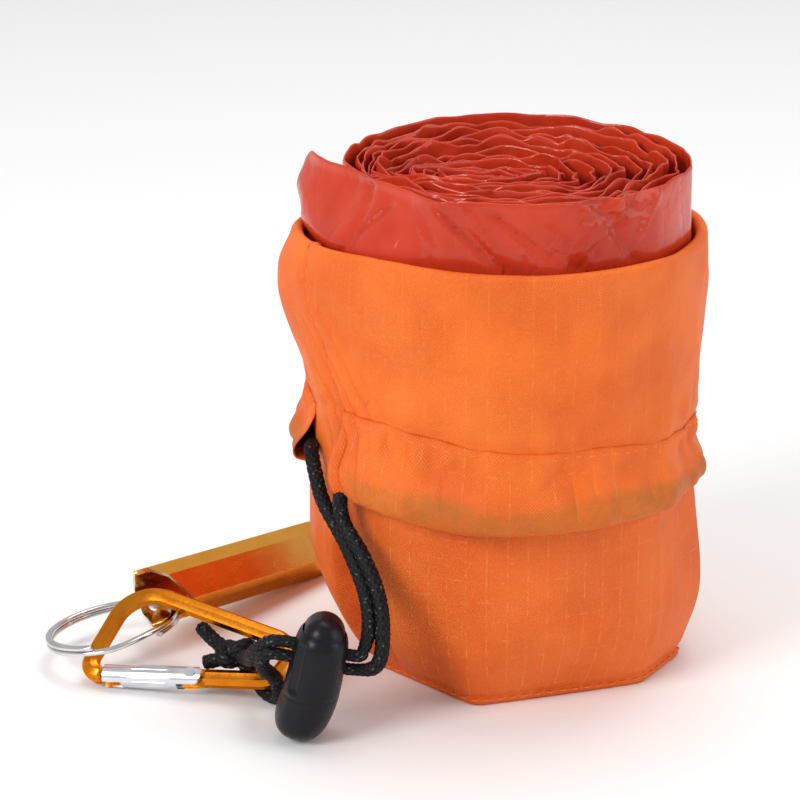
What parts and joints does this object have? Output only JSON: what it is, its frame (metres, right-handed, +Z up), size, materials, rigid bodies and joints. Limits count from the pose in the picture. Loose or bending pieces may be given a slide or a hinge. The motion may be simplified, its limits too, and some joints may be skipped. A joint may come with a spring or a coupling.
{
  "type": "bivy sack",
  "caption": "Rolled film emergency bivy standing in a ripstop stuff sack, with a drawcord, sprung cord lock, carabiner, split ring and tube whistle.",
  "frame": {"origin": "centre of the stuff sack's base, on the ground", "axes": "+Z up along the sack and the roll, -Y towards the front, +X to the right; the cord, carabiner, ring and whistle lie on the -X side"},
  "size_m": [0.1548, 0.1099, 0.1181],
  "materials": {
    "ripstop": "woven ripstop nylon with a slight sheen",
    "thread": "twisted polyester thread",
    "film": "glossy creased film",
    "cord": "braided nylon",
    "black_plastic": "satin moulded plastic",
    "orange_aluminium": "orange anodised",
    "bare_aluminium": "bright, lightly brushed",
    "plated_steel": "nickel plated",
    "spring_steel": "drawn wire"
  },
  "bodies": {
    "stuff_sack": {"sack_body": "ripstop", "sack_base": "ripstop", "sack_cuff": "ripstop", "drawcord_channel": "ripstop", "hem_thread": "thread", "side_thread": "thread", "base_thread": "thread", "drawcord": "cord"},
    "roll": {"bivy_roll": "film"},
    "cord_lock": {"cord_lock_barrel": "black_plastic", "cord_lock_spring": "spring_steel"},
    "lock_button": {"cord_lock_button": "black_plastic"},
    "carabiner": {"carabiner_body": "orange_aluminium", "gate_rivet": "bare_aluminium"},
    "gate": {"carabiner_gate": "bare_aluminium", "gate_spring": "spring_steel"},
    "pusher": {"gate_pusher": "spring_steel"},
    "ring": {"split_ring": "plated_steel"},
    "whistle": {"whistle_tube": "orange_aluminium", "whistle_fipple": "orange_aluminium", "whistle_end_plug": "orange_aluminium"}
  },
  "joints": [
    {"name": "roll_slide", "type": "slide", "parent": "stuff_sack", "child": "roll", "axis": [0, 0, 1], "range_m": [0, 0.12]},
    {"name": "cord_lock_slide", "type": "slide", "parent": "stuff_sack", "child": "cord_lock", "axis": [-0.9781, 0, 0.2079], "range_m": [0, 0.003]},
    {"name": "button_press", "type": "slide", "parent": "cord_lock", "child": "lock_button", "axis": [-0.2079, 0, -0.9781], "range_m": [0, 0.0028], "deforming": ["cord_lock_spring"]},
    {"name": "carabiner_swing", "type": "hinge", "parent": "stuff_sack", "child": "carabiner", "pos_m": [-0.0547, -0.03473, 0.00567], "axis": [0.9652, -0.2496, 0.0785], "range_deg": [0, 25]},
    {"name": "gate_open", "type": "hinge", "parent": "carabiner", "child": "gate", "pos_m": [-0.07062, -0.03061, 0.00438], "axis": [0.2086, 0.5532, -0.8065], "range_deg": [0, 24], "deforming": ["gate_spring"]},
    {"name": "pusher_slide", "type": "slide", "parent": "gate", "child": "pusher", "axis": [-0.9652, 0.2496, -0.0785], "range_m": [0, 0.0008]},
    {"name": "ring_swing", "type": "hinge", "parent": "carabiner", "child": "ring", "pos_m": [-0.0915, -0.01667, 0.00855], "axis": [0.4386, 0.6842, 0.5827], "range_deg": [0, 4]},
    {"name": "whistle_swing", "type": "hinge", "parent": "ring", "child": "whistle", "pos_m": [-0.08258, 0.00225, 0.00894], "axis": [0.7273, -0.4739, 0.4965], "range_deg": [0, 30]}
  ],
  "couplings": [
    {"joint": "pusher_slide", "follows": "gate_open", "m_per_rad": 0.00153}
  ]
}
